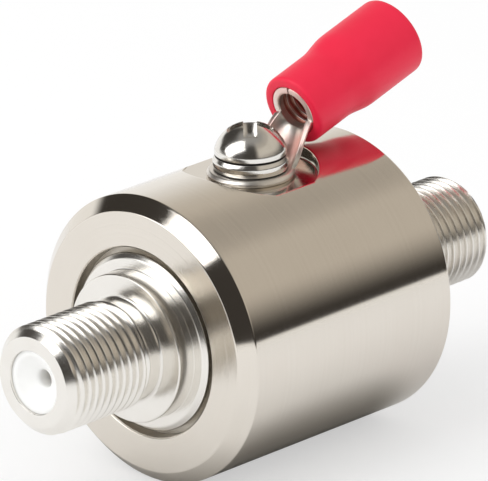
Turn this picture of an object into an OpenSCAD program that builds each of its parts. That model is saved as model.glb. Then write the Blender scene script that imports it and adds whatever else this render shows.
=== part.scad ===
// Coaxial lightning arrestor for F type lines: a nickel plated drum with a threaded port at each end,
// a gas discharge tube inside, and a ring terminal held under a screw on top for the ground wire.
// The drum's axis is X, the front port points to -X, the ground screw stands up along +Z, and the
// origin lies on the axis at the middle of the front port's thread. All sizes are in millimetres.

/* [Drum] */
// Outer diameter of the drum
drum_d = 25; // [23:0.5:32]
// Length of the drum between its flat faces
drum_len = 25.5; // [24:0.5:40]
// Size of the 45 degree chamfer at each end
drum_chamfer = 1.2; // [0.4:0.1:2]
// Diameter of the bore through the drum
bore_d = 14; // [13:0.2:15]
// Diameter of the counterbore that seats a port's flange
seat_d = 16.4; // [16:0.1:18]
// Depth of that counterbore
seat_depth = 1.2; // [0.8:0.1:2]
// Edge break at the mouth of the counterbore
seat_edge = 0.15; // [0.05:0.05:0.4]

/* [Port] */
// Outer diameter of the port's thread
thread_d = 9.45; // [9:0.05:10]
// Reach of the port from the drum's face to its tip
port_reach = 12.5; // [10:0.5:18]
// Chamfer at the port's tip
tip_chamfer = 0.8; // [0.3:0.1:1.2]
// Diameter of the plain neck behind the thread
neck_d = 8.7; // [8.2:0.1:9]
// Length of that neck
neck_len = 1.8; // [0.8:0.1:3]
// Fillet where the neck meets the shoulder
neck_fillet = 0.25; // [0.1:0.05:0.5]
// Diameter of the shoulder
shoulder_d = 12.8; // [11:0.1:14]
// Height of the shoulder's face above the drum's face
shoulder_proud = 1.9; // [1.4:0.1:3]
// Edge break of the shoulder
shoulder_edge = 0.15; // [0.05:0.05:0.4]
// Diameter of the flange
flange_d = 16; // [15:0.1:16]
// Height of the flange's face above the drum's face
flange_proud = 0.8; // [0.4:0.1:1.2]
// Chamfer of the flange
flange_chamfer = 0.4; // [0.1:0.1:0.6]
// Length of the spigot that enters the drum's bore
spigot_len = 4; // [3:0.5:6]
// Bore of the lip that keeps the insulator in
lip_d = 5.5; // [5:0.1:5.8]
// Length of that lip
lip_len = 1.2; // [0.8:0.1:2]
// Bore behind the lip
guide_d = 6.6; // [6.2:0.1:7]

/* [Insulator] */
// Set back of the insulator's face from the port's tip
insulator_recess = 0.25; // [0.1:0.05:0.6]
// Width of the dish in its face
dish_d = 4.6; // [3:0.1:5]
// Depth of the dish
dish_depth = 1.1; // [0.4:0.1:1.8]
// Hole for the cable's centre wire
wire_hole_d = 1.5; // [1.2:0.05:1.8]
// Wall between the insulator's face and the contact
insulator_nose = 2.6; // [2:0.1:4]

/* [Centre conductor] */
// Diameter of each socket contact
contact_d = 2.6; // [2:0.1:3]
// Bore of each socket
socket_d = 1.1; // [0.9:0.05:1.2]
// Depth of each socket
socket_depth = 5.5; // [4:0.5:8]
// Width of the two slots that let a socket spring
slot_w = 0.25; // [0.15:0.05:0.35]
// Diameter of the rod between the contacts
rod_d = 4; // [3:0.1:5]
// Diameter of the pin by which a contact enters the rod
joint_pin_d = 1.6; // [1.2:0.1:2]
// Length of that pin
joint_pin_len = 3; // [2:0.5:4]
// Distance from the rod's axis to its flat under the gas tube
rod_flat = 1.6; // [1:0.1:1.8]

/* [Gas tube] */
// Diameter of the gas discharge tube
tube_d = 5; // [4:0.1:6]
// Length of its ceramic barrel
tube_len = 2.8; // [2:0.1:3]
// Bore of its ceramic barrel
tube_bore = 3.2; // [2.8:0.1:3.6]
// Thickness of each end cap
cap_t = 0.6; // [0.3:0.1:0.7]
// Diameter of the electrode on each cap
electrode_d = 2.4; // [1.6:0.1:2.6]
// Spark gap between the electrodes
spark_gap = 1; // [0.5:0.1:1.4]
// Thickness of the bowed leaf spring under the tube
leaf_t = 0.3; // [0.2:0.05:0.4]
// Width of that spring
leaf_w = 3; // [2:0.1:4]
// Half of its span along the drum
leaf_span = 4.5; // [3.5:0.1:5.5]

/* [Ground screw] */
// Place of the screw behind the middle of the drum
screw_x = 0.5; // [-3:0.1:3]
// Diameter of the pocket milled round the screw
pocket_d = 11.4; // [10:0.2:13]
// Depth of that pocket below the top of the drum
pocket_depth = 1.15; // [0.8:0.05:2]
// Thread diameter of the screw
screw_d = 4; // [3:0.5:4]
// Length of the screw under its head
screw_len = 6; // [5:0.5:6]
// Diameter of the screw's head
head_d = 6.1; // [5.8:0.1:7]
// Height of the head
head_h = 2.7; // [2.2:0.1:3.2]
// Height of the straight band round the head
head_band = 0.5; // [0.4:0.05:1.2]
// Span of the cross recess
recess_span = 3.8; // [3:0.1:4.2]
// Span of the recess at its bottom
recess_foot = 1.4; // [1.3:0.1:1.8]
// Width of each wing of the recess
recess_w = 0.95; // [0.7:0.05:1.2]
// Depth of the recess
recess_depth = 1.7; // [1:0.1:1.9]
// Outer diameter of the split spring washer
washer_d = 6.4; // [6:0.1:7.6]
// Thickness of that washer
washer_t = 1.3; // [0.7:0.05:1.5]
// Width of the split in the washer
washer_split = 0.5; // [0.3:0.1:1]

/* [Ring terminal] */
// Outer diameter of the ring
ring_d = 7.5; // [7:0.1:9]
// Hole in the ring
ring_hole = 4.3; // [4.2:0.05:4.6]
// Thickness of the ring
ring_t = 0.6; // [0.5:0.05:1]
// Distance from the screw to the middle of the barrel's mouth
barrel_reach = 5.1; // [4.9:0.05:7]
// Height of the barrel's mouth above the pocket's floor
barrel_rise = 4.3; // [4.2:0.1:6]
// Upward tilt of the barrel
barrel_tilt = 16.5; // [5:0.5:35]
// Outer diameter of the rolled barrel
barrel_d = 4.5; // [3.8:0.1:4.6]
// Bore of the barrel
barrel_bore = 3.2; // [2.6:0.1:3.4]
// Length of the barrel
barrel_len = 6.5; // [5:0.5:8]
// Depth of the wire grip grooves inside the barrel
grip_depth = 0.15; // [0.05:0.05:0.25]
// Width of each groove
grip_w = 0.4; // [0.2:0.05:0.5]
// Number of grooves
grip_count = 3; // [2:1:4]
// Gap along the barrel's butt seam
seam_w = 0.15; // [0.1:0.05:0.3]

/* [Sleeve] */
// Diameter of the sleeve where it grips the barrel
sleeve_d = 6.3; // [5.6:0.1:6.8]
// Diameter of the sleeve's wider rear part
sleeve_rear_d = 7.1; // [6.2:0.1:8]
// Length of the sleeve
sleeve_len = 12.75; // [10:0.25:16]
// Wall of the sleeve at its open rear end
sleeve_wall = 0.8; // [0.6:0.05:1]
// Rounding of the sleeve's ends
sleeve_round = 0.35; // [0.1:0.05:0.38]

/* [Hidden] */
// Clearance of pieces that are assembled and stay put
seat_gap = 0.02;
// Clearance of the screw in its tapped hole
screw_gap = 0.05;
// Clearance between the washer and the crease where the terminal's neck turns up
crease_gap = 0.1;
// Depth by which the terminal's neck is rooted in its ring and its barrel
root_depth = 0.5;
// Skin by which those roots stay inside the ring's and the barrel's own faces
root_skin = 0.03;
// Half angle over which the neck leaves the ring, and over which it meets the barrel
crease_half = 45;
mouth_half = 75;
// Turn of the recess's wings from the drum's axis
recess_turn = 45;
// Steps of the neck's grid along and across the strip
neck_rows = 14;
neck_cols = 16;
// Overlap that makes a cut pass through a face
cut = 0.5;

port_inner = seat_depth + spigot_len;
thread_start = shoulder_proud + neck_len;
thread_full = thread_start + (thread_d - neck_d) / 2;
thread_end = port_reach - tip_chamfer;
drum_mid = drum_len / 2 + (thread_full + thread_end) / 2;
contact_tip = port_reach - insulator_recess - insulator_nose - seat_gap;
rod_half = drum_len / 2 - port_inner;
pocket_floor = drum_d / 2 - pocket_depth;
washer_z = pocket_floor + ring_t;
head_z = washer_z + washer_t;
dome_h = head_h - head_band;
dome_r = (head_d * head_d / 4 + dome_h * dome_h) / (2 * dome_h);
tube_top = -rod_flat;
tube_bottom = tube_top - tube_len - 2 * cap_t;
electrode_h = (tube_len - spark_gap) / 2;
leaf_seat = -sqrt(bore_d * bore_d / 4 - leaf_w * leaf_w / 4);
leaf_rise = tube_bottom - leaf_seat - seat_gap;
leaf_r = (leaf_span * leaf_span + leaf_rise * leaf_rise) / (2 * leaf_rise);
crease_r = washer_d / 2 + crease_gap;
barrel_dir = [cos(barrel_tilt), 0, sin(barrel_tilt)];
barrel_up = [-sin(barrel_tilt), 0, cos(barrel_tilt)];
mouth = [barrel_reach, 0, barrel_rise];
grip_pitch = barrel_len / (grip_count + 2);
sleeve_step = barrel_len * 0.7;
$fn = 96;

// Puts what is built about the middle of the drum into the frame.
module at_middle() {
    translate([drum_mid, 0, 0])
        children();
}

// Puts what stands on Z = 0 onto a face of the drum: side -1 is the front, 1 the rear.
module at_face(side) {
    at_middle()
        translate([side * drum_len / 2, 0, 0])
            rotate([0, side * 90, 0])
                children();
}

// Puts what is built about the screw's axis at a height on that axis.
module at_screw(z) {
    at_middle()
        translate([screw_x, 0, z])
            children();
}

// Puts what is built along Z onto the barrel's axis, starting at its mouth.
module at_mouth() {
    at_screw(pocket_floor)
        translate(mouth)
            rotate([0, 90 - barrel_tilt, 0])
                children();
}

// Drum turned from bar: chamfered at both ends, bored through, counterbored for the two ports,
// with a round pocket milled into its top and a tapped hole for the ground screw.
module drum_body() {
    color("silver")
        difference() {
            at_middle()
                rotate([0, 90, 0])
                    rotate_extrude()
                        drum_section();
            at_screw(pocket_floor)
                cylinder(d = pocket_d, h = pocket_depth + cut);
            at_screw(0)
                cylinder(d = screw_d + 2 * screw_gap, h = pocket_floor + cut);
        }
}

module drum_section() {
    r = drum_d / 2;
    half = drum_len / 2;
    seat = half - seat_depth;
    polygon([
        [bore_d / 2, -seat], [seat_d / 2, -seat], [seat_d / 2, -half + seat_edge], [seat_d / 2 + seat_edge, -half],
        [r - drum_chamfer, -half], [r, -half + drum_chamfer],
        [r, half - drum_chamfer], [r - drum_chamfer, half],
        [seat_d / 2 + seat_edge, half], [seat_d / 2, half - seat_edge], [seat_d / 2, seat], [bore_d / 2, seat]
    ]);
}

// Port insert turned from bar: spigot, flange, shoulder, plain neck and threaded nose.
module port_insert() {
    color("gainsboro")
        rotate_extrude() {
            port_section();
            neck_fillet_section();
        }
}

module port_section() {
    polygon([
        [guide_d / 2, -port_inner], [bore_d / 2 - seat_gap, -port_inner],
        [bore_d / 2 - seat_gap, -seat_depth], [flange_d / 2, -seat_depth],
        [flange_d / 2, flange_proud - flange_chamfer], [flange_d / 2 - flange_chamfer, flange_proud],
        [shoulder_d / 2, flange_proud], [shoulder_d / 2, shoulder_proud - shoulder_edge],
        [shoulder_d / 2 - shoulder_edge, shoulder_proud], [neck_d / 2, shoulder_proud],
        [neck_d / 2, thread_start], [thread_d / 2, thread_start + (thread_d - neck_d) / 2],
        [thread_d / 2, port_reach - tip_chamfer], [thread_d / 2 - tip_chamfer, port_reach],
        [lip_d / 2, port_reach], [lip_d / 2, port_reach - lip_len], [guide_d / 2, port_reach - lip_len]
    ]);
}

module neck_fillet_section() {
    translate([neck_d / 2, shoulder_proud])
        difference() {
            translate([-neck_fillet, -neck_fillet])
                square(2 * neck_fillet);
            translate([neck_fillet, neck_fillet])
                circle(neck_fillet);
        }
}

module front_port() { at_face(-1) port_insert(); }

module rear_port() { at_face(1) port_insert(); }

// White insulator pushed in from behind against the port's lip, dished at the front to guide the wire.
module insulator() {
    face = port_reach - insulator_recess;
    color("white")
        rotate_extrude()
            polygon([
                [contact_d / 2 + seat_gap, -port_inner], [guide_d / 2 - seat_gap, -port_inner],
                [guide_d / 2 - seat_gap, port_reach - lip_len], [lip_d / 2 - seat_gap, port_reach - lip_len],
                [lip_d / 2 - seat_gap, face], [dish_d / 2, face], [wire_hole_d / 2, face - dish_depth],
                [wire_hole_d / 2, face - insulator_nose], [contact_d / 2 + seat_gap, face - insulator_nose]
            ]);
}

module front_insulator() { at_face(-1) insulator(); }

module rear_insulator() { at_face(1) insulator(); }

// Turned contact: a slotted socket for the cable's wire, and a pin that is pressed into the rod.
module contact() {
    bottom = contact_tip - socket_depth;
    color("goldenrod")
        difference() {
            union() {
                translate([0, 0, -port_inner])
                    cylinder(d = contact_d, h = contact_tip + port_inner);
                translate([0, 0, -port_inner - joint_pin_len])
                    cylinder(d = joint_pin_d - 2 * seat_gap, h = joint_pin_len + cut);
            }
            translate([0, 0, bottom])
                cylinder(d = socket_d, h = socket_depth + cut);
            translate([-slot_w / 2, -contact_d, bottom])
                cube([slot_w, 2 * contact_d, socket_depth + cut]);
        }
}

module front_contact() { at_face(-1) contact(); }

module rear_contact() { at_face(1) contact(); }

// Rod between the contacts, with a flat that the gas tube sits on.
module centre_rod() {
    color("goldenrod")
        at_middle()
            difference() {
                rotate([0, 90, 0])
                    cylinder(d = rod_d, h = 2 * rod_half, center = true);
                for (side = [-1, 1])
                    translate([side * rod_half, 0, 0])
                        rotate([0, 90, 0])
                            cylinder(d = joint_pin_d, h = 2 * (joint_pin_len + seat_gap), center = true);
                translate([-tube_d / 2 - cut, -rod_d, -rod_d - rod_flat])
                    cube([tube_d + 2 * cut, 2 * rod_d, rod_d]);
            }
}

// Gas discharge tube: a ceramic ring brazed between two electrode caps.
module gas_tube_barrel() {
    color("mintcream")
        at_middle()
            translate([0, 0, tube_top - cap_t - tube_len])
                difference() {
                    cylinder(d = tube_d, h = tube_len);
                    translate([0, 0, -cut])
                        cylinder(d = tube_bore, h = tube_len + 2 * cut);
                }
}

module electrode_cap() {
    color("lightgray")
        rotate_extrude()
            polygon([
                [0, 0], [tube_d / 2, 0], [tube_d / 2, cap_t], [electrode_d / 2, cap_t],
                [electrode_d / 2, cap_t + electrode_h], [0, cap_t + electrode_h]
            ]);
}

module gas_tube_inner_cap() {
    at_middle()
        translate([0, 0, tube_top])
            mirror([0, 0, 1])
                electrode_cap();
}

module gas_tube_outer_cap() {
    at_middle()
        translate([0, 0, tube_bottom])
            electrode_cap();
}

// Bowed leaf spring: its ends stand on the bore's wall and its crown presses on the tube.
module tube_spring() {
    color("tan")
        at_middle()
            translate([0, leaf_w / 2, tube_bottom - leaf_r])
                rotate([90, 0, 0])
                    linear_extrude(leaf_w)
                        intersection() {
                            difference() {
                                circle(leaf_r);
                                circle(leaf_r - leaf_t);
                            }
                            translate([-leaf_span, leaf_r - leaf_rise])
                                square([2 * leaf_span, leaf_rise + cut]);
                        }
}

// Stamped ring terminal: a flat ring, a neck that turns up and curls, and a rolled barrel.
module ring_terminal() {
    color("lightgray") {
        at_screw(pocket_floor)
            difference() {
                union() {
                    cylinder(d = ring_d, h = ring_t);
                    terminal_neck();
                }
                translate([0, 0, -cut])
                    cylinder(d = ring_hole, h = ring_t + 2 * cut);
            }
        at_mouth()
            barrel();
    }
}

module barrel() {
    difference() {
        cylinder(d = barrel_d, h = barrel_len);
        translate([0, 0, -cut])
            cylinder(d = barrel_bore, h = barrel_len + 2 * cut);
        for (i = [1 : grip_count])
            translate([0, 0, i * grip_pitch])
                cylinder(d = barrel_bore + 2 * grip_depth, h = grip_w);
        translate([-barrel_d, -seam_w / 2, -cut])
            cube([barrel_d, seam_w, barrel_len + 2 * cut]);
    }
}

// A point of the neck's sheet. s runs from the ring to the barrel, v across the strip from -1 to 1.
// The sheet leaves the ring square to its crease arc and joins the barrel along the barrel's axis.
function crease_at(r, h, v) = [r * cos(crease_half * v), r * sin(crease_half * v), h];
function mouth_at(r, v) = mouth + r * sin(mouth_half * v) * [0, 1, 0] - r * cos(mouth_half * v) * barrel_up;
function curve_at(a, b, c, d, s) =
    pow(1 - s, 3) * a + 3 * s * pow(1 - s, 2) * b + 3 * s * s * (1 - s) * c + pow(s, 3) * d;
function sheet_at(h, r, pull, s, v) =
    s < 0 ? crease_at(crease_r - root_depth, h, v)
    : s > 1 ? mouth_at(r, v) + root_depth * barrel_dir
    : curve_at(crease_at(crease_r, h, v), crease_at(crease_r + pull, h, v),
        mouth_at(r, v) - pull * barrel_dir, mouth_at(r, v), s);

neck_s = [-1, each [for (i = [0 : neck_rows]) i / neck_rows], 2];
neck_v = [for (j = [0 : neck_cols]) 2 * j / neck_cols - 1];

module terminal_neck() {
    m = len(neck_s);
    n = len(neck_v);
    under = [for (s = neck_s) for (v = neck_v) sheet_at(root_skin, barrel_d / 2 - root_skin, ring_t, s, v)];
    over = [for (s = neck_s) for (v = neck_v)
        sheet_at(ring_t - root_skin, barrel_bore / 2 + root_skin, ring_t / 2, s, v)];
    top = m * n;
    faces = [
        for (i = [0 : m - 2]) for (j = [0 : n - 2]) let (k = i * n + j) each [
            [k, k + n, k + n + 1], [k, k + n + 1, k + 1],
            [top + k, top + k + n + 1, top + k + n], [top + k, top + k + 1, top + k + n + 1]
        ],
        for (i = [0 : m - 2]) let (k = i * n, e = i * n + n - 1) each [
            [k, top + k, top + k + n], [k, top + k + n, k + n],
            [e, top + e + n, top + e], [e, e + n, top + e + n]
        ],
        for (j = [0 : n - 2]) let (k = j, e = (m - 1) * n + j) each [
            [k, k + 1, top + k + 1], [k, top + k + 1, top + k],
            [e, top + e + 1, e + 1], [e, top + e, top + e + 1]
        ]
    ];
    polyhedron(concat(under, over), faces);
}

// Vinyl sleeve over the barrel, flared towards its open rear end.
module terminal_sleeve() {
    color("crimson")
        at_mouth()
            rotate_extrude()
                difference() {
                    sleeve_outline();
                    sleeve_hollow();
                }
}

module sleeve_outline() {
    difference() {
        polygon([
            [0, 0], [sleeve_d / 2, 0], [sleeve_d / 2, sleeve_step],
            [sleeve_rear_d / 2, barrel_len], [sleeve_rear_d / 2, sleeve_len], [0, sleeve_len]
        ]);
        translate([sleeve_d / 2, 0])
            round_corner(sleeve_round);
        translate([sleeve_rear_d / 2, sleeve_len])
            mirror([0, 1])
                round_corner(sleeve_round);
    }
}

// What is cut from a corner whose sides run to -X and +Y, to leave it round.
module round_corner(r) {
    difference() {
        translate([-r, -r])
            square(2 * r);
        translate([-r, r])
            circle(r);
        translate([-2 * r, r])
            square([2 * r, 2 * r]);
        translate([-3 * r, -r])
            square([2 * r, 4 * r]);
    }
}

module sleeve_hollow() {
    grip_r = barrel_d / 2 + seat_gap;
    rear_r = sleeve_rear_d / 2 - sleeve_wall;
    polygon([
        [0, -cut], [grip_r, -cut], [grip_r, barrel_len + seat_gap],
        [rear_r, barrel_len + seat_gap + rear_r - grip_r], [rear_r, sleeve_len + cut], [0, sleeve_len + cut]
    ]);
}

// Split spring washer, flat because the screw is tight.
module spring_washer() {
    inner = screw_d / 2 + screw_gap;
    color("lightsteelblue")
        at_screw(washer_z)
            difference() {
                cylinder(d = washer_d, h = washer_t);
                translate([0, 0, -cut])
                    cylinder(r = inner, h = washer_t + 2 * cut);
                rotate([0, 0, 120])
                    translate([0, 0, washer_t / 2])
                        rotate([30, 0, 0])
                            translate([0, -washer_split / 2, -washer_d])
                                cube([washer_d, washer_split, 2 * washer_d]);
            }
}

// Pan head screw with a cross recess.
module ground_screw() {
    color("whitesmoke")
        at_screw(head_z)
            difference() {
                union() {
                    translate([0, 0, -screw_len])
                        cylinder(d = screw_d, h = screw_len + head_band);
                    rotate_extrude()
                        head_section();
                }
                translate([0, 0, head_h])
                    cross_recess();
            }
}

module head_section() {
    square([head_d / 2, head_band]);
    intersection() {
        translate([0, head_h - dome_r])
            circle(dome_r);
        square([head_d / 2, head_h]);
    }
}

module cross_recess() {
    intersection() {
        for (turn = [recess_turn, recess_turn + 90])
            rotate([0, 0, turn])
                translate([-recess_span, -recess_w / 2, -recess_depth])
                    cube([2 * recess_span, recess_w, recess_depth + cut]);
        translate([0, 0, -recess_depth])
            cylinder(d1 = recess_foot, d2 = recess_span, h = recess_depth);
    }
}

drum_body();
front_port();
rear_port();
front_insulator();
rear_insulator();
front_contact();
rear_contact();
centre_rod();
gas_tube_barrel();
gas_tube_inner_cap();
gas_tube_outer_cap();
tube_spring();
ring_terminal();
terminal_sleeve();
spring_washer();
ground_screw();
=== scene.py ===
"""Coax lightning arrestor: its dressed surfaces, finishes, floor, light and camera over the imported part.
Shapes are worked out in millimetres in the part's own frame; a finished mesh is in metres."""

import bmesh
import bpy
import numpy as np
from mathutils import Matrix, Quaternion, Vector


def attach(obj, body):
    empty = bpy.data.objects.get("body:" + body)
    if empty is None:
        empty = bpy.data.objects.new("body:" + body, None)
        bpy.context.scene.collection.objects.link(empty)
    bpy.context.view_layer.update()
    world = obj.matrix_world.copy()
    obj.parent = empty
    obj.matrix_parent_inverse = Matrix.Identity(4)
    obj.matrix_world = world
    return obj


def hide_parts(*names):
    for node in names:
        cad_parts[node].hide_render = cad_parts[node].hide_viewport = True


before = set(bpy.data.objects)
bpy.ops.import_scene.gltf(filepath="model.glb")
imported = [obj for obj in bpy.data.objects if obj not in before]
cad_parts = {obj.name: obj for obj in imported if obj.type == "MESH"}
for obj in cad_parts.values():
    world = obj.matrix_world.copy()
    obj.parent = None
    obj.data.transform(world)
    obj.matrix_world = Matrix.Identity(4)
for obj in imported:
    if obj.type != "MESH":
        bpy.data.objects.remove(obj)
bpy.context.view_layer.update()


# Drum
# Turned from brass bar and plated in satin nickel, with a chamfer at each end and a counterbore for
# each port. A round pocket milled into its top seats the ground terminal, over a tapped screw hole.

DRUM_MID = 20.6375
DRUM_R, DRUM_HALF, DRUM_CHAMFER = 12.5, 12.75, 1.2
BORE_R = 7.0
SEAT_R, SEAT_DEPTH, SEAT_BREAK = 8.2, 1.2, 0.15
SCREW_X = 0.5
POCKET_R, POCKET_FLOOR, POCKET_EASE, POCKET_FILLET = 5.7, 11.35, 0.1, 0.2
HOLE_R, HOLE_BREAK = 2.05, 0.2

# The wall round the pocket is a mesh of its own, set in a window in the drum's outside and bore.
WINDOW_TURN, WINDOW_STEPS = np.radians(36), 49
WINDOW_TOP, WINDOW_BORE = 7.5, 4.0

# A support point stands this many eases from its corner.
SUPPORT = 1.7


def eased(corners, steps=6):
    """Outline of corners (along, out, ease): each becomes the curve P + (1-t)^2 back + t^2 on, where
    back and on reach one ease towards its neighbours, with a support point just beyond each end."""
    corners = np.array(corners, float)
    point, ease = corners[:, :2], corners[:, 2:]
    to_last, to_next = np.roll(point, 1, 0) - point, np.roll(point, -1, 0) - point
    back = ease * to_last / np.hypot(*to_last.T)[:, None]
    on = ease * to_next / np.hypot(*to_next.T)[:, None]
    t = np.linspace(0, 1, steps)[:, None, None]
    curve = point + (1 - t) ** 2 * back + t ** 2 * on
    rows = np.concatenate([[point + SUPPORT * back], curve, [point + SUPPORT * on]])
    return rows.transpose(1, 0, 2).reshape(-1, 2)


def turned(outline, angles):
    """Outline (along, out) carried round the axis: (along, out sin a, out cos a)."""
    along, out = outline.T[:, :, None]
    return np.stack([along + 0 * angles, out * np.sin(angles), out * np.cos(angles)], 2)


def walk(half_a, half_b, t):
    """Once round a rectangle's edge from its corner (half_a, -half_b): four runs with the same steps t."""
    corner = np.array([(1, -1), (1, 1), (-1, 1), (-1, -1)]) * (half_a, half_b)
    run = corner[:, None] + (np.roll(corner, -1, 0) - corner)[:, None] * t[:-1, None]
    return np.vstack([run.reshape(-1, 2), corner[:1]])


def lifted(radius, plan):
    """A plan (x, y) raised onto a cylinder along X: z = sqrt(radius^2 - y^2)."""
    return np.concatenate([plan, np.sqrt(radius ** 2 - plan[..., 1:] ** 2)], -1)


def level(plan, z):
    """A plan (x, y) at one height."""
    return np.concatenate([plan, np.full_like(plan[..., :1], z)], -1)


def spread(first, last, steps):
    """Rows of points that go straight from one loop to another."""
    t = np.linspace(0, 1, steps)[:, None, None]
    return first + (last - first) * t


def corner_rows(start, corner, end, steps=6):
    """Rows that round a corner: corner + (1-t)^2 (start - corner) + t^2 (end - corner)."""
    t = np.linspace(0, 1, steps)[:, None, None]
    return corner + (1 - t) ** 2 * (start - corner) + t ** 2 * (end - corner)


def drum_pocket():
    """The drum's wall round the pocket, from a window in its outside, over the rim, down the pocket's wall,
    across its floor and down the screw hole to a window in the bore. All rows share the hole's angles. The
    rim is the pocket's circle, cut off where the floor runs out through the drum's side. A support row lies
    a little beyond each rounded or broken edge."""
    unit = walk(1, 1, np.linspace(0, 1, WINDOW_STEPS))
    round_hole = unit / np.hypot(*unit.T)[:, None]
    turn = unit[:, 1] * WINDOW_TURN
    top = np.stack([unit[:, 0] * WINDOW_TOP, DRUM_R * np.sin(turn)], 1)
    under = np.stack([unit[:, 0] * WINDOW_BORE, BORE_R * np.sin(turn)], 1)
    run_out = np.sqrt(DRUM_R ** 2 - POCKET_FLOOR ** 2)
    reach = np.minimum(POCKET_R, run_out / np.maximum(np.abs(round_hole[:, 1:]), 0.01))
    rim = lifted(DRUM_R, reach * round_hole)
    foot = level(reach * round_hole, POCKET_FLOOR)
    edge = level(HOLE_R * round_hole, POCKET_FLOOR)
    wall = rim[:, 2:] - POCKET_FLOOR
    ease = np.minimum(POCKET_EASE, 0.25 * wall)
    fillet = np.minimum(POCKET_FILLET, 0.3 * wall)
    up = np.array([0, 0, 1])
    return np.concatenate([
        lifted(DRUM_R, spread(top, (reach + ease + 0.15) * round_hole, 12)),
        corner_rows(lifted(DRUM_R, (reach + ease) * round_hole), rim, rim - ease * up),
        spread(rim - 1.5 * ease * up, foot + 1.5 * fillet * up, 4),
        corner_rows(foot + fillet * up, foot, level((reach - fillet) * round_hole, POCKET_FLOOR)),
        spread(level((reach - 1.6 * fillet - 0.05) * round_hole, POCKET_FLOOR),
               level((HOLE_R + HOLE_BREAK + 0.1) * round_hole, POCKET_FLOOR), 8),
        spread(level((HOLE_R + HOLE_BREAK) * round_hole, POCKET_FLOOR), edge - HOLE_BREAK * up, 2),
        spread(edge - (HOLE_BREAK + 0.1) * up, lifted(BORE_R, HOLE_R * round_hole), 5),
        lifted(BORE_R, spread(HOLE_R * round_hole, under, 6)[1:]),
    ])


def drum_end(side, bore_from, side_from):
    """One end of the drum as it is turned: bore, counterbore with its broken edge, face and chamfer."""
    seat, face, edge = side * (DRUM_HALF - SEAT_DEPTH), side * DRUM_HALF, side * (DRUM_HALF - DRUM_CHAMFER)
    return eased([
        (bore_from, BORE_R, 0), (seat, BORE_R, 0.1), (seat, SEAT_R, 0.05),
        (face - side * SEAT_BREAK, SEAT_R, 0.03), (face, SEAT_R + SEAT_BREAK, 0.03),
        (face, DRUM_R - DRUM_CHAMFER, 0.08), (edge, DRUM_R, 0.08), (side_from, DRUM_R, 0)])


def shell(name, grids, caps=()):
    """One mesh, in metres, from grids of points in millimetres: corners that meet are welded, quads that
    shrink to triangles kept as such, and each cap, a loop of points, closed by one face."""
    counts = [g.shape[0] * g.shape[1] for g in grids] + [len(c) for c in caps]
    starts = np.cumsum([0] + counts)
    points = np.concatenate([g.reshape(-1, 3) for g in grids] + list(caps))
    _, first, weld = np.unique(np.round(points, 4), axis=0, return_index=True, return_inverse=True)
    weld = weld.ravel()
    quads = []
    for g, start in zip(grids, starts):
        k = weld[start:start + g.shape[0] * g.shape[1]].reshape(g.shape[:2])
        quads.append(np.stack([k[:-1, :-1], k[:-1, 1:], k[1:, 1:], k[1:, :-1]], 2).reshape(-1, 4))
    quads = np.concatenate(quads)
    kept = quads != np.roll(quads, -1, 1)
    apart = (quads[:, 0] != quads[:, 2]) & (quads[:, 1] != quads[:, 3])
    whole = quads[kept.all(1) & apart]
    three = (kept.sum(1) == 3) & apart
    triangles = quads[three][kept[three]].reshape(-1, 3)
    loops = [weld[start:start + len(c)] for c, start in zip(caps, starts[len(grids):])]
    loops = [k[k != np.roll(k, 1)].tolist() for k in loops]
    mesh = bpy.data.meshes.new(name)
    mesh.from_pydata(points[first] * 0.001, [], whole.tolist() + triangles.tolist() + loops)
    work = bmesh.new()
    work.from_mesh(mesh)
    bmesh.ops.recalc_face_normals(work, faces=work.faces)
    work.to_mesh(mesh)
    work.free()
    mesh.shade_smooth()
    mesh.set_sharp_from_angle(angle=np.radians(40))
    made = bpy.data.objects.new(name, mesh)
    bpy.context.scene.collection.objects.link(made)
    return made


window_turns = np.linspace(-WINDOW_TURN, WINDOW_TURN, WINDOW_STEPS)
other_turns = np.linspace(WINDOW_TURN, 2 * np.pi - WINDOW_TURN, 193)
all_turns = np.concatenate([window_turns, other_turns[1:]])
steps_top = np.linspace(SCREW_X - WINDOW_TOP, SCREW_X + WINDOW_TOP, WINDOW_STEPS)
steps_bore = np.linspace(SCREW_X - WINDOW_BORE, SCREW_X + WINDOW_BORE, WINDOW_STEPS)
drum_grids = [
    drum_pocket() + (SCREW_X, 0, 0),
    turned(np.stack([steps_top, np.full(WINDOW_STEPS, DRUM_R)], 1), other_turns),
    turned(np.stack([steps_bore, np.full(WINDOW_STEPS, BORE_R)], 1), other_turns),
    turned(drum_end(-1, SCREW_X - WINDOW_BORE, SCREW_X - WINDOW_TOP), all_turns),
    turned(drum_end(1, SCREW_X + WINDOW_BORE, SCREW_X + WINDOW_TOP), all_turns),
]
drum = shell("drum_turned", [g + (DRUM_MID, 0, 0) for g in drum_grids])


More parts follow.
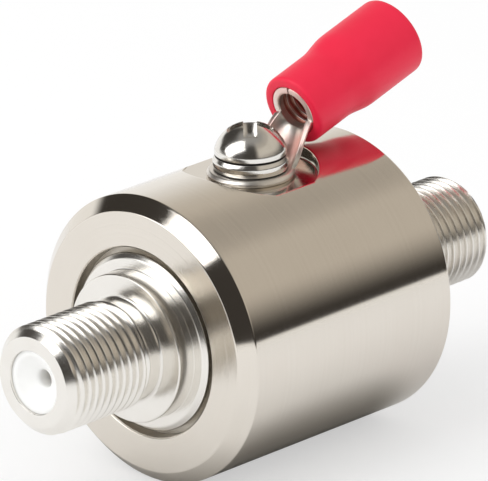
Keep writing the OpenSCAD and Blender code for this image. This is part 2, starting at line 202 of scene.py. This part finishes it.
class Value:
    """A socket of a node tree. Operators on it add Math nodes; node() adds any other kind."""

    def __init__(self, tree, socket=None):
        self.tree, self.socket = tree, socket

    def node(self, kind, settings={}, sockets={}, out=0):
        """A new node: its settings first, then the values or links of its sockets."""
        made = self.tree.nodes.new("ShaderNode" + kind)
        for name, value in settings.items():
            setattr(made, name, value)
        for name, value in sockets.items():
            if isinstance(value, Value):
                self.tree.links.new(value.socket, made.inputs[name])
            else:
                made.inputs[name].default_value = value
        return Value(self.tree, made.outputs[out] if made.outputs else None)

    def math(self, operation, *values):
        """A Math node on these values."""
        return self.node("Math", {"operation": operation}, dict(enumerate(values)))

    def __add__(self, other):
        return self.math("ADD", self, other)

    def __radd__(self, other):
        return self.math("ADD", other, self)

    def __sub__(self, other):
        return self.math("SUBTRACT", self, other)

    def __rsub__(self, other):
        return self.math("SUBTRACT", other, self)

    def __mul__(self, other):
        return self.math("MULTIPLY", self, other)

    def __rmul__(self, other):
        return self.math("MULTIPLY", other, self)

    def __abs__(self):
        return self.math("ABSOLUTE", self)

    def root(self):
        """The square root of this value."""
        return self.math("SQRT", self)

    def or_more(self, other):
        """The larger of two values."""
        return self.math("MAXIMUM", self, other)

    def rise(self, low, high):
        """0 below low, 1 above high, and a smooth step between them."""
        return self.node("MapRange", {"interpolation_type": "SMOOTHSTEP"},
                         {"Value": self, "From Min": low, "From Max": high})

    def between(self, low, high, soft):
        """1 from low to high, falling to 0 over soft on each side."""
        return self.rise(low - soft, low + soft) * (1 - self.rise(high - soft, high + soft))

    def tint(self, low, high):
        """The colour that goes from low to high as this value goes from 0 to 1."""
        full = [c if isinstance(c, Value) else (*c, 1) for c in (low, high)]
        return self.node("Mix", {"data_type": "RGBA"}, {0: self, 6: full[0], 7: full[1]}, 2)

    def parts(self):
        """The three numbers of a vector."""
        split = self.node("SeparateXYZ", {}, {0: self})
        return [Value(self.tree, s) for s in split.socket.node.outputs]

    def millimetres(self):
        """The three coordinates of a point, in millimetres."""
        return [1000 * c for c in self.parts()]

    def marks(self, scale, detail):
        """Noise along a line on which this value is the place, about scale marks to a millimetre."""
        return self.node("TexNoise", {"noise_dimensions": "1D"},
                         {"W": self, "Scale": scale, "Detail": detail})

    def grain(self, scale, detail=2.0, stretch=(1, 1, 1)):
        """Cloudy noise about one millimetre over scale in size, pulled out along an axis by stretch."""
        moved = self.node("VectorMath", {"operation": "MULTIPLY"}, {0: self, 1: stretch})
        return self.node("TexNoise", {}, {"Vector": moved, "Scale": 1000 * scale, "Detail": detail})

    def bump(self, height):
        """A normal bent by this value, where 1 stands that many millimetres high."""
        return self.node("Bump", {}, {"Height": self, "Distance": 0.001 * height, "Strength": 1.0})


def finish(name, paint):
    """A material from paint(point), which gives the shader's sockets from the object's own coordinates."""
    material = bpy.data.materials.new(name)
    material.use_nodes = True
    material.node_tree.nodes.clear()
    start = Value(material.node_tree)
    point = start.node("TexCoord", out=3)
    shader = start.node("BsdfPrincipled", {}, paint(point))
    start.node("OutputMaterial", {}, {0: shader})
    return material


def satin_nickel(point):
    """Satin plate over fine lathe marks. The marks run round the axis: their place is the distance from it,
    less the distance from the drum's middle, so that they follow face, chamfer and side alike. The side was
    skimmed finer than the ends. Down in the ports' seats the colour is darkened by painted shade, and the
    plate is rougher."""
    x, y, z = point.millimetres()
    out = (y * y + z * z).root()
    mark = out - abs(x - DRUM_MID)
    fine, broad, cloud = mark.marks(22.0, 1.0), mark.marks(3.0, 3.0), point.grain(0.25)
    end = 1 - out.rise(DRUM_R - DRUM_CHAMFER - 0.05, DRUM_R - DRUM_CHAMFER + 0.05)
    # Painted shade: the seats, in the gap behind each flange, are darkened.
    seat = 1 - out.rise(SEAT_R + 0.02, SEAT_R + 0.12)
    plate = (0.5 * cloud + 0.5 * broad).tint((0.74, 0.69, 0.62), (0.80, 0.755, 0.69))
    return {
        "Base Color": seat.tint(plate, (0.52, 0.48, 0.42)),
        "Metallic": 1.0,
        "Roughness": 0.06 + 0.03 * broad + 0.02 * cloud + 0.06 * end + 0.15 * seat,
        "Normal": ((0.25 + 0.75 * end) * fine).bump(0.006),
    }


drum.data.materials.append(finish("satin_nickel", satin_nickel))
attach(drum, "drum")
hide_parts("drum_body")


# Ports
# Two brass inserts turned from one drawing and plated in bright nickel: a spigot and a flange pressed into
# the drum, a shoulder, a plain neck and a right-hand thread of 32 turns to the inch.

PITCH = 25.4 / 32
THREAD_R, THREAD_ROOT, THREAD_FROM = 4.725, 4.26, 3.1
THREAD_FLAT, THREAD_ROUNDING = 0.12, 0.35
PORT_REACH, PORT_TIP = 12.5, 0.8
NECK_R = 4.35
SHOULDER_R, SHOULDER_AT = 6.4, 1.9
FLANGE_R, FLANGE_AT, FLANGE_BEVEL = 7.72, 0.17, (0.35, 0.42)
SPIGOT_R, SPIGOT_END = BORE_R - 0.02, -5.2
PLUG_BORE, LIP_R, LIP_AT = 3.3, 2.75, 11.3


def placed(grid, origin, along, up):
    """A grid of (along, side, up) set in the frame, with side = up x along."""
    return grid @ np.array([along, np.cross(up, along), up], float) + origin


def threaded(angles, pitch, root, cover, steps=16):
    """A right-hand thread in rows along its helix: row i is at start + i pitch / steps - pitch angle / turn,
    held between the ends. The radius climbs from root to the cover's height and back within each pitch,
    flat for an eighth of it at crest and root and a little rounded beside them. It stays under cover, a list
    of (along, out), and grows out of the cover's first height within one pitch."""
    ends, heights = np.array(cover).T
    start, end = ends[0], ends[-1]
    count = int(np.ceil((end - start + pitch) / pitch * steps)) + 1
    row = np.arange(count)[:, None]
    along = np.clip(start + row * pitch / steps - pitch * (angles - angles[0]) / (2 * np.pi), start, end)
    climb = 1 - np.abs(2 * (row / steps % 1) - 1)
    tooth = np.clip((climb - THREAD_FLAT) / (1 - 2 * THREAD_FLAT), 0, 1)
    tooth = tooth + THREAD_ROUNDING * (tooth * tooth * (3 - 2 * tooth) - tooth)
    out = np.minimum(root + (heights.max() - root) * tooth, np.interp(along, ends, heights))
    out = heights[0] + (out - heights[0]) * np.clip((along - start) / pitch, 0, 1)
    return np.stack([along, out * np.sin(angles), out * np.cos(angles)], 2)


def port_shape():
    """The insert along its axis from the drum's face: the turned outline and the thread on its nose."""
    body = eased([
        (THREAD_FROM, NECK_R, 0), (SHOULDER_AT, NECK_R, 0.35), (SHOULDER_AT, SHOULDER_R, 0.12),
        (FLANGE_AT, SHOULDER_R, 0.06), (FLANGE_AT, FLANGE_R - FLANGE_BEVEL[1], 0.1),
        (FLANGE_AT - FLANGE_BEVEL[0], FLANGE_R, 0.1), (-SEAT_DEPTH, FLANGE_R, 0.05),
        (-SEAT_DEPTH, SPIGOT_R, 0.05), (SPIGOT_END, SPIGOT_R, 0.2), (SPIGOT_END, PLUG_BORE, 0.1),
        (LIP_AT, PLUG_BORE, 0.02), (LIP_AT, LIP_R, 0.02), (PORT_REACH, LIP_R, 0.05),
        (PORT_REACH, THREAD_R - PORT_TIP, 0)])
    nose = [(THREAD_FROM, NECK_R), (THREAD_FROM + THREAD_R - NECK_R, THREAD_R),
            (PORT_REACH - PORT_TIP, THREAD_R), (PORT_REACH, THREAD_R - PORT_TIP)]
    turns = np.linspace(0, 2 * np.pi, 161)
    return [turned(body, turns), threaded(turns, PITCH, THREAD_ROOT, nose)]


def bright_nickel(point):
    """Bright plate with faint lathe marks round the axis."""
    x, y, z = point.millimetres()
    fine = ((y * y + z * z).root() + 0.8 * x).marks(14.0, 1.0)
    cloud = point.grain(0.5)
    return {
        "Base Color": cloud.tint((0.83, 0.80, 0.75), (0.90, 0.88, 0.84)),
        "Metallic": 1.0,
        "Roughness": 0.16 + 0.10 * cloud,
        "Normal": fine.bump(0.004),
    }


port_finish = finish("bright_nickel", bright_nickel)
for name, node, side in (("front_port_threaded", "front_port", -1), ("rear_port_threaded", "rear_port", 1)):
    origin = (DRUM_MID + side * DRUM_HALF, 0, 0)
    port = shell(name, [placed(g, origin, (side, 0, 0), (0, 0, 1)) for g in port_shape()])
    port.data.materials.append(port_finish)
    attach(port, "drum")
    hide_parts(node)


# Insulators
# White moulded plugs pushed in from behind against each port's lip, dished at the front so that the
# cable's wire finds the hole in the middle.

PLUG_R, PLUG_NOSE_R, PLUG_FACE = PLUG_BORE - 0.02, LIP_R - 0.005, 12.25
DISH_R, DISH_FLOOR, WIRE_HOLE_R = 2.3, 11.15, 0.75
CONTACT_R, CONTACT_END = 1.32, 9.65


def ringed(outline, steps):
    """A closed outline turned once round the axis."""
    return turned(np.vstack([outline, outline[:1]]), np.linspace(0, 2 * np.pi, steps))


def plug_shape():
    """Closed outline of the plug along its port's axis, turned once round."""
    return ringed(eased([
        (SPIGOT_END, CONTACT_R, 0.05), (SPIGOT_END, PLUG_R, 0.1), (LIP_AT, PLUG_R, 0.05),
        (LIP_AT, PLUG_NOSE_R, 0.02), (PLUG_FACE, PLUG_NOSE_R, 0.03), (PLUG_FACE, DISH_R, 0.2),
        (DISH_FLOOR, WIRE_HOLE_R, 0.25), (CONTACT_END, WIRE_HOLE_R, 0.05),
        (CONTACT_END, CONTACT_R, 0.05)]), 97)


def moulded_white(point):
    """Semi-matt white polythene, faintly uneven where it shrank in the mould."""
    cloud, skin = point.grain(0.4), point.grain(9.0, 3.0)
    return {
        "Base Color": cloud.tint((0.90, 0.90, 0.88), (0.94, 0.94, 0.93)),
        "Roughness": 0.38 + 0.14 * skin,
        "Specular IOR Level": 0.4,
        "Normal": skin.bump(0.004),
    }


plug_finish = finish("moulded_white", moulded_white)
for name, node, side in (("front_plug", "front_insulator", -1), ("rear_plug", "rear_insulator", 1)):
    origin = (DRUM_MID + side * DRUM_HALF, 0, 0)
    plug = shell(name, [placed(plug_shape(), origin, (side, 0, 0), (0, 0, 1))])
    plug.data.materials.append(plug_finish)
    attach(plug, "drum")
    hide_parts(node)


# Contacts, rod and gas tube
# Inside the drum: turned brass contacts on a brass rod, a ceramic gas tube brazed between plated caps, and
# the bronze leaf that presses the tube onto the rod. Their solids stay as built and take these finishes.

def bright_brass(point):
    """Drawn brass, a little browner where it has been handled."""
    cloud, streak = point.grain(0.6), point.grain(5.0, 2.0, (0.15, 1, 1))
    return {
        "Base Color": cloud.tint((0.74, 0.52, 0.22), (0.86, 0.66, 0.34)),
        "Metallic": 1.0,
        "Roughness": 0.18 + 0.14 * streak,
        "Normal": streak.bump(0.003),
    }


def fired_ceramic(point):
    """Glazed white ceramic, speckled."""
    speck = point.grain(4.0, 3.0)
    return {
        "Base Color": speck.tint((0.84, 0.86, 0.82), (0.93, 0.94, 0.91)),
        "Roughness": 0.22 + 0.1 * speck,
        "Normal": speck.bump(0.002),
    }


def plated_cap(point):
    """Drawn steel cup, dull nickel."""
    streak = point.grain(5.0, 2.0, (1, 1, 0.2))
    return {
        "Base Color": streak.tint((0.62, 0.61, 0.58), (0.74, 0.73, 0.70)),
        "Metallic": 1.0,
        "Roughness": 0.22 + 0.14 * streak,
        "Normal": streak.bump(0.003),
    }


def rolled_bronze(point):
    """Spring strip with rolling marks along it."""
    streak = point.grain(6.0, 2.0, (0.1, 1, 1))
    return {
        "Base Color": streak.tint((0.62, 0.40, 0.22), (0.76, 0.52, 0.30)),
        "Metallic": 1.0,
        "Roughness": 0.24 + 0.14 * streak,
        "Normal": streak.bump(0.003),
    }


inner_finishes = {
    finish("bright_brass", bright_brass): ("front_contact", "rear_contact", "centre_rod"),
    finish("fired_ceramic", fired_ceramic): ("gas_tube_barrel",),
    finish("plated_cap", plated_cap): ("gas_tube_inner_cap", "gas_tube_outer_cap"),
    finish("rolled_bronze", rolled_bronze): ("tube_spring",),
}
for material, nodes in inner_finishes.items():
    for node in nodes:
        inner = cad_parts[node]
        for place in inner.material_slots:
            place.material = material


# Ring terminal
# Stamped from tinned copper sheet: a flat ring under the screw, a neck that turns up and curls, and a barrel
# rolled until its edges butt along the top, with three grooves inside to grip the wire.

SCREW_AXIS = np.array([DRUM_MID + SCREW_X, 0, POCKET_FLOOR])
RING_HOLE, RING_R, RING_T = 2.15, 3.75, 0.6
TILT = np.radians(16.5)
BARREL_DIR = np.array([np.cos(TILT), 0, np.sin(TILT)])
BARREL_UP = np.array([-np.sin(TILT), 0, np.cos(TILT)])
MOUTH = SCREW_AXIS + (5.1, 0, 4.3)
BARREL_R, BARREL_BORE, BARREL_LEN = 2.25, 1.6, 6.5
GROOVES, GROOVE_R, GROOVE_W = (0.65, 1.3, 1.95), 1.78, 0.4
STRIP_HALF, STRIP_T = 4.0, 0.54
CREASE_R, NECK_ROOT, NECK_TIP = 3.3, 2.3, 0.4
NECK_SWING, NECK_CURL = np.radians([45, 75])


def denser(loop, step):
    """The same closed loop with added points, so that no stretch of it is longer than step."""
    closed = np.vstack([loop, loop[:1]])
    length = np.concatenate([[0], np.cumsum(np.hypot(*np.diff(closed, axis=0).T))])
    at = np.unique(np.concatenate([length, np.arange(0, length[-1], step)]))
    return np.stack([np.interp(at, length, closed[:, 0]), np.interp(at, length, closed[:, 1])], 1)


def neck_shape():
    """A rounded strip section (v across, h through the sheet) carried from ring to barrel. Each line of it
    is the cubic from the crease arc, square to it, to the barrel's mouth, along the barrel's axis. Its inner
    face stands just proud of the bore at the mouth and sinks into the barrel's wall behind it. Its root is
    cut flat inside the ring."""
    section = denser(eased([(-STRIP_HALF, 0, 0.14), (STRIP_HALF, 0, 0.14), (STRIP_HALF, STRIP_T, 0.2),
                            (-STRIP_HALF, STRIP_T, 0.2)]), 0.2)
    v, h = section[:, 0] / STRIP_HALF, section[:, 1:] / STRIP_T
    swing, curl = NECK_SWING * v, NECK_CURL * v
    outward = np.stack([np.cos(swing), np.sin(swing), 0 * v], 1)
    crease = SCREW_AXIS + CREASE_R * outward + (0, 0, (RING_T - STRIP_T) / 2) + STRIP_T * h * (0, 0, 1)
    away = np.sin(curl)[:, None] * (0, 1, 0) - np.cos(curl)[:, None] * BARREL_UP
    outside, wall = BARREL_R - 0.03, BARREL_R - BARREL_BORE
    mouth = MOUTH + (outside - wall * h) * away
    tip = MOUTH + NECK_TIP * BARREL_DIR + (outside - (wall - 0.1) * h) * away
    pull = 0.8 - 0.4 * h
    s = np.linspace(0, 1, 33)[:, None, None]
    rows = ((1 - s) ** 3 * crease + 3 * s * (1 - s) ** 2 * (crease + pull * outward)
            + 3 * s * s * (1 - s) * (mouth - pull * BARREL_DIR) + s ** 3 * mouth)
    root = np.column_stack([np.full(len(v), SCREW_AXIS[0] + NECK_ROOT), crease[:, 1:]])
    return np.concatenate([[root], rows, [tip]])


def barrel_shape():
    """The barrel's wall (along, out) carried from one butting edge round to the other, the wall thinning
    a little at both edges where the shear has rounded them."""
    grooves = [(u, r, 0.06) for at in GROOVES[::-1]
               for u, r in ((at + GROOVE_W, BARREL_BORE), (at + GROOVE_W, GROOVE_R), (at, GROOVE_R),
                            (at, BARREL_BORE))]
    wall = eased([(0, BARREL_BORE, 0.16), (0, BARREL_R, 0.16), (BARREL_LEN, BARREL_R, 0.1),
                  (BARREL_LEN, BARREL_BORE, 0.1)] + grooves)
    wall = np.vstack([wall, wall[:1]])
    half_gap = np.radians(2.0)
    close = half_gap + np.radians([0, 0.6, 1.8, 3.5])
    main = np.linspace(close[-1], 2 * np.pi - close[-1], 121)
    angles = np.concatenate([close, main[1:-1], 2 * np.pi - close[::-1]])
    inset = np.interp(np.minimum(angles, 2 * np.pi - angles), close, [0.12, 0.05, 0.01, 0])
    along, out = wall.T[:, :, None]
    out = out + inset * np.sign((BARREL_R + BARREL_BORE) / 2 - out)
    return np.stack([along + 0 * angles, out * np.sin(angles), out * np.cos(angles)], 2)


ring_outline = eased([(0, RING_HOLE, 0.08), (0, RING_R - 0.15, 0.08), (0.28, RING_R, 0.09),
                      (RING_T, RING_R - 0.25, 0.1), (RING_T, RING_HOLE, 0.1)])
ring = placed(ringed(ring_outline, 145), SCREW_AXIS, (0, 0, 1), (1, 0, 0))
neck = neck_shape()
barrel = placed(barrel_shape(), MOUTH, BARREL_DIR, BARREL_UP)
lug = shell("ground_lug", [ring, neck, barrel], [neck[0], neck[-1], barrel[:, 0], barrel[:, -1]])


def tinned_copper(point):
    """Tin plate, satin and warm, faintly rippled, with fine stamping streaks. The neck by the barrel carries
    a painted pink reflection of the red sleeve, and the grooves and the bore deep in the barrel a
    brownish-red painted shade."""
    ripple, streak = point.grain(0.9, 3.0), point.grain(7.0, 2.0, (0.3, 1, 1))
    x, y, z = point.millimetres()
    along, lift = x - MOUTH[0], z - MOUTH[2]
    depth = along * BARREL_DIR[0] + lift * BARREL_DIR[2]
    above = along * BARREL_UP[0] + lift * BARREL_UP[2]
    out = (above * above + y * y).root()
    # Painted reflection: the neck near the barrel is tinted pink, for the red sleeve it mirrors.
    painted_red_reflection = along.between(-1.7, -0.2, 0.5) * (0.7 + 0.3 * ripple)
    before, behind = GROOVES[0] - 0.1, GROOVES[-1] + GROOVE_W
    inside = depth.rise(before - 0.05, before + 0.05) * (1 - out.rise(GROOVE_R + 0.06, GROOVE_R + 0.12))
    groove, deep = out.rise(BARREL_BORE + 0.01, BARREL_BORE + 0.07), depth.rise(behind - 0.05, behind + 0.05)
    # Painted shade: the grooves and the bore deep in the barrel are darkened to brownish red.
    painted_bore_shade = inside * groove.or_more(deep)
    tin = ripple.tint((0.82, 0.77, 0.71), (0.92, 0.89, 0.84))
    tin = painted_red_reflection.tint(tin, (0.95, 0.66, 0.60))
    return {
        "Base Color": painted_bore_shade.tint(tin, (0.60, 0.34, 0.28)),
        "Metallic": 1.0,
        "Roughness": 0.25 + 0.10 * ripple + 0.05 * streak + 0.10 * painted_red_reflection,
        "Normal": ripple.bump(0.02),
    }


lug.data.materials.append(finish("tinned_copper", tinned_copper))
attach(lug, "terminal")
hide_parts("ring_terminal")


# Sleeve
# Soft red vinyl pushed over the barrel, a close fit there and flared behind it for the wire's jacket.
# It is moulded, and stays on by its own grip.

SLEEVE_R, SLEEVE_BORE = 3.15, BARREL_R + 0.02
FLARE_R, FLARE_BORE = 3.55, 2.75
SLEEVE_LEN, FLARE_FROM, FLARE_TO = 12.75, 4.55, 6.5

sleeve_outline = eased([
    (0, SLEEVE_BORE, 0.1), (0, SLEEVE_R, 0.35), (FLARE_FROM, SLEEVE_R, 0.55), (FLARE_TO, FLARE_R, 0.55),
    (SLEEVE_LEN, FLARE_R, 0.4), (SLEEVE_LEN, FLARE_BORE, 0.06), (BARREL_LEN + 0.5, FLARE_BORE, 0.15),
    (BARREL_LEN + 0.02, SLEEVE_BORE, 0.15)])
sleeve = shell("lug_sleeve", [placed(ringed(sleeve_outline, 145), MOUTH, BARREL_DIR, BARREL_UP)])


def red_vinyl(point):
    """Semi-gloss vinyl, its colour a little cloudy and its skin finely pebbled."""
    cloud, skin = point.grain(0.3), point.grain(5.0, 3.0)
    return {
        "Base Color": cloud.tint((0.84, 0.012, 0.05), (0.94, 0.02, 0.07)),
        "Roughness": 0.36 + 0.12 * skin,
        "Specular IOR Level": 0.35,
        "Normal": skin.bump(0.006),
    }


sleeve.data.materials.append(finish("red_vinyl", red_vinyl))
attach(sleeve, "terminal")
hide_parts("terminal_sleeve")


# Spring washer
# Nickel plated steel wire, bevelled at its outer edges, coiled to one turn and cut on the slant. The screw
# presses it flat onto the ring.

WASHER_Z, WASHER_T = POCKET_FLOOR + RING_T, 1.3
WASHER_R, WASHER_BORE = 3.2, 2.05
CUT_TURN, CUT_LEAN, CUT_W = np.radians(120), np.radians(30), 0.5


def washer_shape():
    """A bevelled section (height, out) carried round from one cut end to the other. The cut stands at 120
    degrees and leans: its place along the turn moves by tan 30 degrees for each unit of height."""
    section = eased([(0, WASHER_BORE, 0.1), (0, WASHER_R - 0.1, 0.1), (0.45, WASHER_R, 0.1),
                     (0.85, WASHER_R, 0.1), (WASHER_T, WASHER_R - 0.25, 0.14), (WASHER_T, WASHER_BORE, 0.1)])
    z, out = np.vstack([section, section[:1]]).T[:, :, None]
    c = np.linspace(0, 1, 161)
    lean, half_cut = -np.tan(CUT_LEAN) * (z - WASHER_T / 2), CUT_W / 2 / np.cos(CUT_LEAN)
    angle = CUT_TURN + (1 - c) * (lean + half_cut) / out + c * (2 * np.pi + (lean - half_cut) / out)
    grid = np.stack([out * np.cos(angle), out * np.sin(angle), z + 0 * angle], 2)
    return grid + (SCREW_AXIS[0], 0, WASHER_Z)


washer_grid = washer_shape()
washer = shell("lock_washer", [washer_grid], [washer_grid[:, 0], washer_grid[:, -1]])


def bright_plate(point):
    """Bright nickel on steel, with soft tumbling marks, and painted shade, near black, where head, washer and
    ring meet.
    """
    mark = point.grain(1.6, 2.0)
    height = point.millimetres()[2] - WASHER_Z
    # Painted shade: bands of head and washer at their joints are darkened and roughened.
    painted_joint_shade = height.between(-0.2, 0.1, 0.03).or_more(height.between(WASHER_T - 0.12, WASHER_T + 0.1, 0.03))
    plate = mark.tint((0.80, 0.78, 0.73), (0.90, 0.88, 0.85))
    return {
        "Base Color": painted_joint_shade.tint(plate, (0.06, 0.055, 0.05)),
        "Metallic": 1.0,
        "Roughness": 0.12 + 0.12 * mark + 0.4 * painted_joint_shade,
        "Normal": mark.bump(0.006),
    }


screw_finish = finish("bright_plate", bright_plate)
washer.data.materials.append(screw_finish)
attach(washer, "washer")
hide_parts("spring_washer")


# Ground screw
# Nickel plated steel, cold headed: a domed pan head with a straight band and a punched cross recess,
# on a rolled M4 thread.

HEAD_Z = WASHER_Z + WASHER_T
HEAD_R, HEAD_H, HEAD_BAND, HEAD_EASE = 3.05, 2.7, 0.5, 0.12
DOME_R, RIM_R = 3.2143, HEAD_R - HEAD_EASE
RECESS_DIR = np.array([1, 1, 0]) / np.sqrt(2)
RECESS_R, RECESS_RUN, RECESS_DEPTH = 2.4, 1.1, 1.7
WING_HALF, WING_WALL = 0.58, 0.04
SHANK_R, SHANK_ROOT, SHANK_PITCH, SHANK_LEN = 2.0, 1.57, 0.7, 6.0
UNDERCUT_R, UNDERCUT_LEN, SHANK_TIP_R = 1.75, 0.3, 1.55

# Grid lines over the head from its middle, close together at a wing's wall and at its outer end.
wall_knots = WING_HALF + np.array([-0.055, -0.04, -0.027, -0.013, 0, 0.015, 0.055])
half_knots = np.concatenate([
    [0, 0.18, 0.36, 0.48], wall_knots,
    [0.7, 0.82, 0.95, 1.08, 1.21, 1.35, 1.5, 1.65, 1.78, 1.86, 1.91, 1.94, 1.96, 1.98, 2.0, 2.03, 2.06]])
knots = np.concatenate([-half_knots[:0:-1], half_knots])


def dome(plan):
    """The head's top over (x, y): a ball of the dome's radius, sunk to the head's height."""
    return HEAD_H - DOME_R + np.sqrt(DOME_R ** 2 - (plan ** 2).sum(-1))


def head_top(plan):
    """The dome less the cross: where |x| or |y| is within a wing's width, with a steep soft wall, the
    surface drops to a cone that narrows towards the bottom of the recess."""
    wall = np.clip((WING_HALF - np.abs(plan).min(-1)) / WING_WALL, 0, 1)
    wall = wall * wall * (3 - 2 * wall)
    sunk = np.clip((RECESS_R - np.hypot(*np.moveaxis(plan, -1, 0))) / RECESS_RUN, 0, 1)
    cone = HEAD_H - RECESS_DEPTH * sunk
    return dome(plan) - wall * np.maximum(dome(plan) - cone, 0)


def downwards(plan, z):
    """Head points as (along, side, up) for an axis that points down the shank."""
    return np.stack([-z, plan[..., 1], plan[..., 0]], -1)


square = np.stack(np.meshgrid(knots, knots, indexing="ij"), 2)
head_edge = walk(knots[-1], knots[-1], (knots - knots[0]) / (knots[-1] - knots[0]))
head_turns = np.unwrap(np.arctan2(head_edge[:, 1], head_edge[:, 0]))
rim_plan = RIM_R * head_edge / np.hypot(*head_edge.T)[:, None]
slope_plan = spread(head_edge, rim_plan, 12)
below = eased([
    (-dome(rim_plan[0]), RIM_R, 0), (-HEAD_BAND, HEAD_R, HEAD_EASE), (0, HEAD_R, HEAD_EASE),
    (0, UNDERCUT_R, 0.1), (UNDERCUT_LEN, UNDERCUT_R, 0)])
shank = [(UNDERCUT_LEN, UNDERCUT_R), (UNDERCUT_LEN + SHANK_R - UNDERCUT_R, SHANK_R),
         (SHANK_LEN - 0.4, SHANK_R), (SHANK_LEN, SHANK_TIP_R)]
shank_end = np.array([(SHANK_LEN, SHANK_TIP_R), (SHANK_LEN, 0.0)])
screw_grids = [
    downwards(square, head_top(square)),
    downwards(slope_plan, dome(slope_plan)),
    turned(below, head_turns),
    threaded(head_turns, SHANK_PITCH, SHANK_ROOT, shank),
    turned(shank_end, head_turns),
]
screw_foot = (SCREW_AXIS[0], 0, HEAD_Z)
screw = shell("pan_screw", [placed(g, screw_foot, (0, 0, -1), RECESS_DIR) for g in screw_grids])
screw.data.materials.append(screw_finish)
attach(screw, "screw")
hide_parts("ground_screw")


# Floor, light and camera
# A pale table that melts into white, one large soft lamp over the front, and a studio that the metal mirrors:
# white below, low to the left and behind, a beige card to the right, grey overhead and dark elsewhere.

scene = bpy.context.scene
scene.view_settings.view_transform = "Standard"

floor_radii = np.array([0, 20, 40, 80, 160, 320])[:, None]
floor_turns = np.linspace(0, 2 * np.pi, 97)
floor = shell("floor", [np.stack([
    DRUM_MID + floor_radii * np.cos(floor_turns),
    floor_radii * np.sin(floor_turns),
    -DRUM_R + 0 * floor_radii * floor_turns], 2)])


def pale_table(point):
    """Matt white, fading out at the disc's rim. The camera sees it half lifted to white, over a faint shadow;
    the metal mirrors it in full, with a painted shadow, darker colour, right under the drum."""
    x, y = point.millimetres()[:2]
    x = x - DRUM_MID
    reach = (x * x + y * y).root()
    seen = point.node("LightPath")
    # Painted shadow: right under the drum, rays other than the camera's see a darker colour.
    under = (1 - abs(y).rise(7, 17)) * (1 - abs(x).rise(9, 16))
    return {
        "Base Color": seen.tint(under.tint((0.98, 0.98, 0.98), (0.45, 0.44, 0.42)), (0.5, 0.5, 0.5)),
        "Roughness": 1.0,
        "Specular IOR Level": 0.0,
        "Alpha": 1 - reach.rise(100, 300),
        "Emission Color": seen.tint((0, 0, 0), (0.51, 0.51, 0.51)),
        "Emission Strength": 1.0,
    }


floor.data.materials.append(finish("pale_table", pale_table))

CARD_WHITE, CARD_BEIGE = (0.97, 0.96, 0.94), (0.58, 0.53, 0.46)
CEILING_GREY, ROOM_DARK = (0.30, 0.29, 0.275), (0.045, 0.04, 0.035)
SOFT_FILL, BACKDROP_WHITE = (0.78, 0.78, 0.78), (1, 1, 1)

# The studio by azimuth from +X towards +Y and by elevation, in degrees.
world = bpy.data.worlds.new("studio")
scene.world = world
world.use_nodes = True
world.node_tree.nodes.clear()
start = Value(world.node_tree)
x, y, z = start.node("TexCoord", out=0).parts()
turn = x.math("ARCTAN2", y, x) * (180 / np.pi)
height = z.math("ARCSINE", z) * (180 / np.pi)
left_wall = turn.between(38, 165, 4) * (1 - (height + 8 * turn.rise(98, 108)).rise(10, 18))
rear_wall = turn.between(12, 66, 8) * (1 - height.rise(8, 44))
right_card = turn.between(-112, 62, 8) * height.rise(1, 26) * (1 - 0.3 * height.rise(43, 48))
overhead = height.rise(50, 72)
below_table = 1 - height.rise(-3, -1.5)
mirrored = right_card.tint(ROOM_DARK, CARD_BEIGE)
mirrored = overhead.tint(mirrored, CEILING_GREY)
mirrored = left_wall.or_more(rear_wall).tint(mirrored, CARD_WHITE)
mirrored = below_table.tint(mirrored, CARD_WHITE)
rays = start.node("LightPath").socket.node.outputs
camera_ray, glossy_ray, through_ray = [
    Value(start.tree, rays[name]) for name in ("Is Camera Ray", "Is Glossy Ray", "Is Transmission Ray")]
light = glossy_ray.tint(SOFT_FILL, mirrored)
light = camera_ray.or_more(through_ray).tint(light, BACKDROP_WHITE)
background = start.node("Background", {}, {"Color": light, "Strength": 1.0})
start.node("OutputWorld", {}, {0: background})

# The camera's lens and place, in metres and degrees, come from a fit to the photograph's outlines.
AIM = Vector((0.021729, 0.0014782, 0.0049012))
CAMERA_TURN, CAMERA_HEIGHT, CAMERA_ROLL = -135.3677, 20.3251, -0.7349
CAMERA_AWAY, CAMERA_LENS, SENSOR_W = 0.67328, 590.16, 36.0
LAMP_TURN, LAMP_HEIGHT, LAMP_ROLL = 160, 38, -39
LAMP_AWAY, LAMP_W, LAMP_L, LAMP_POWER = 0.8, 0.46, 0.92, 2.9


def aimed(name, data, azimuth, elevation, away, roll):
    """A lamp or camera that looks at the aim point from a direction and a distance, rolled about its view."""
    a, e = np.radians([azimuth, elevation])
    back = Vector((np.cos(e) * np.cos(a), np.cos(e) * np.sin(a), np.sin(e)))
    made = bpy.data.objects.new(name, data)
    made.location = AIM + away * back
    made.rotation_mode = "QUATERNION"
    made.rotation_quaternion = back.to_track_quat("Z", "Y") @ Quaternion((0, 0, 1), np.radians(roll))
    scene.collection.objects.link(made)
    return made


lamp = bpy.data.lights.new("key", "AREA")
lamp.shape = "RECTANGLE"
lamp.size, lamp.size_y = LAMP_W, LAMP_L
lamp.energy = LAMP_POWER
aimed("key", lamp, LAMP_TURN, LAMP_HEIGHT, LAMP_AWAY, LAMP_ROLL)

camera = bpy.data.cameras.new("camera")
camera.sensor_width, camera.lens = SENSOR_W, CAMERA_LENS
camera.clip_start, camera.clip_end = 0.01, 10.0
scene.camera = aimed("camera", camera, CAMERA_TURN, CAMERA_HEIGHT, CAMERA_AWAY, CAMERA_ROLL)
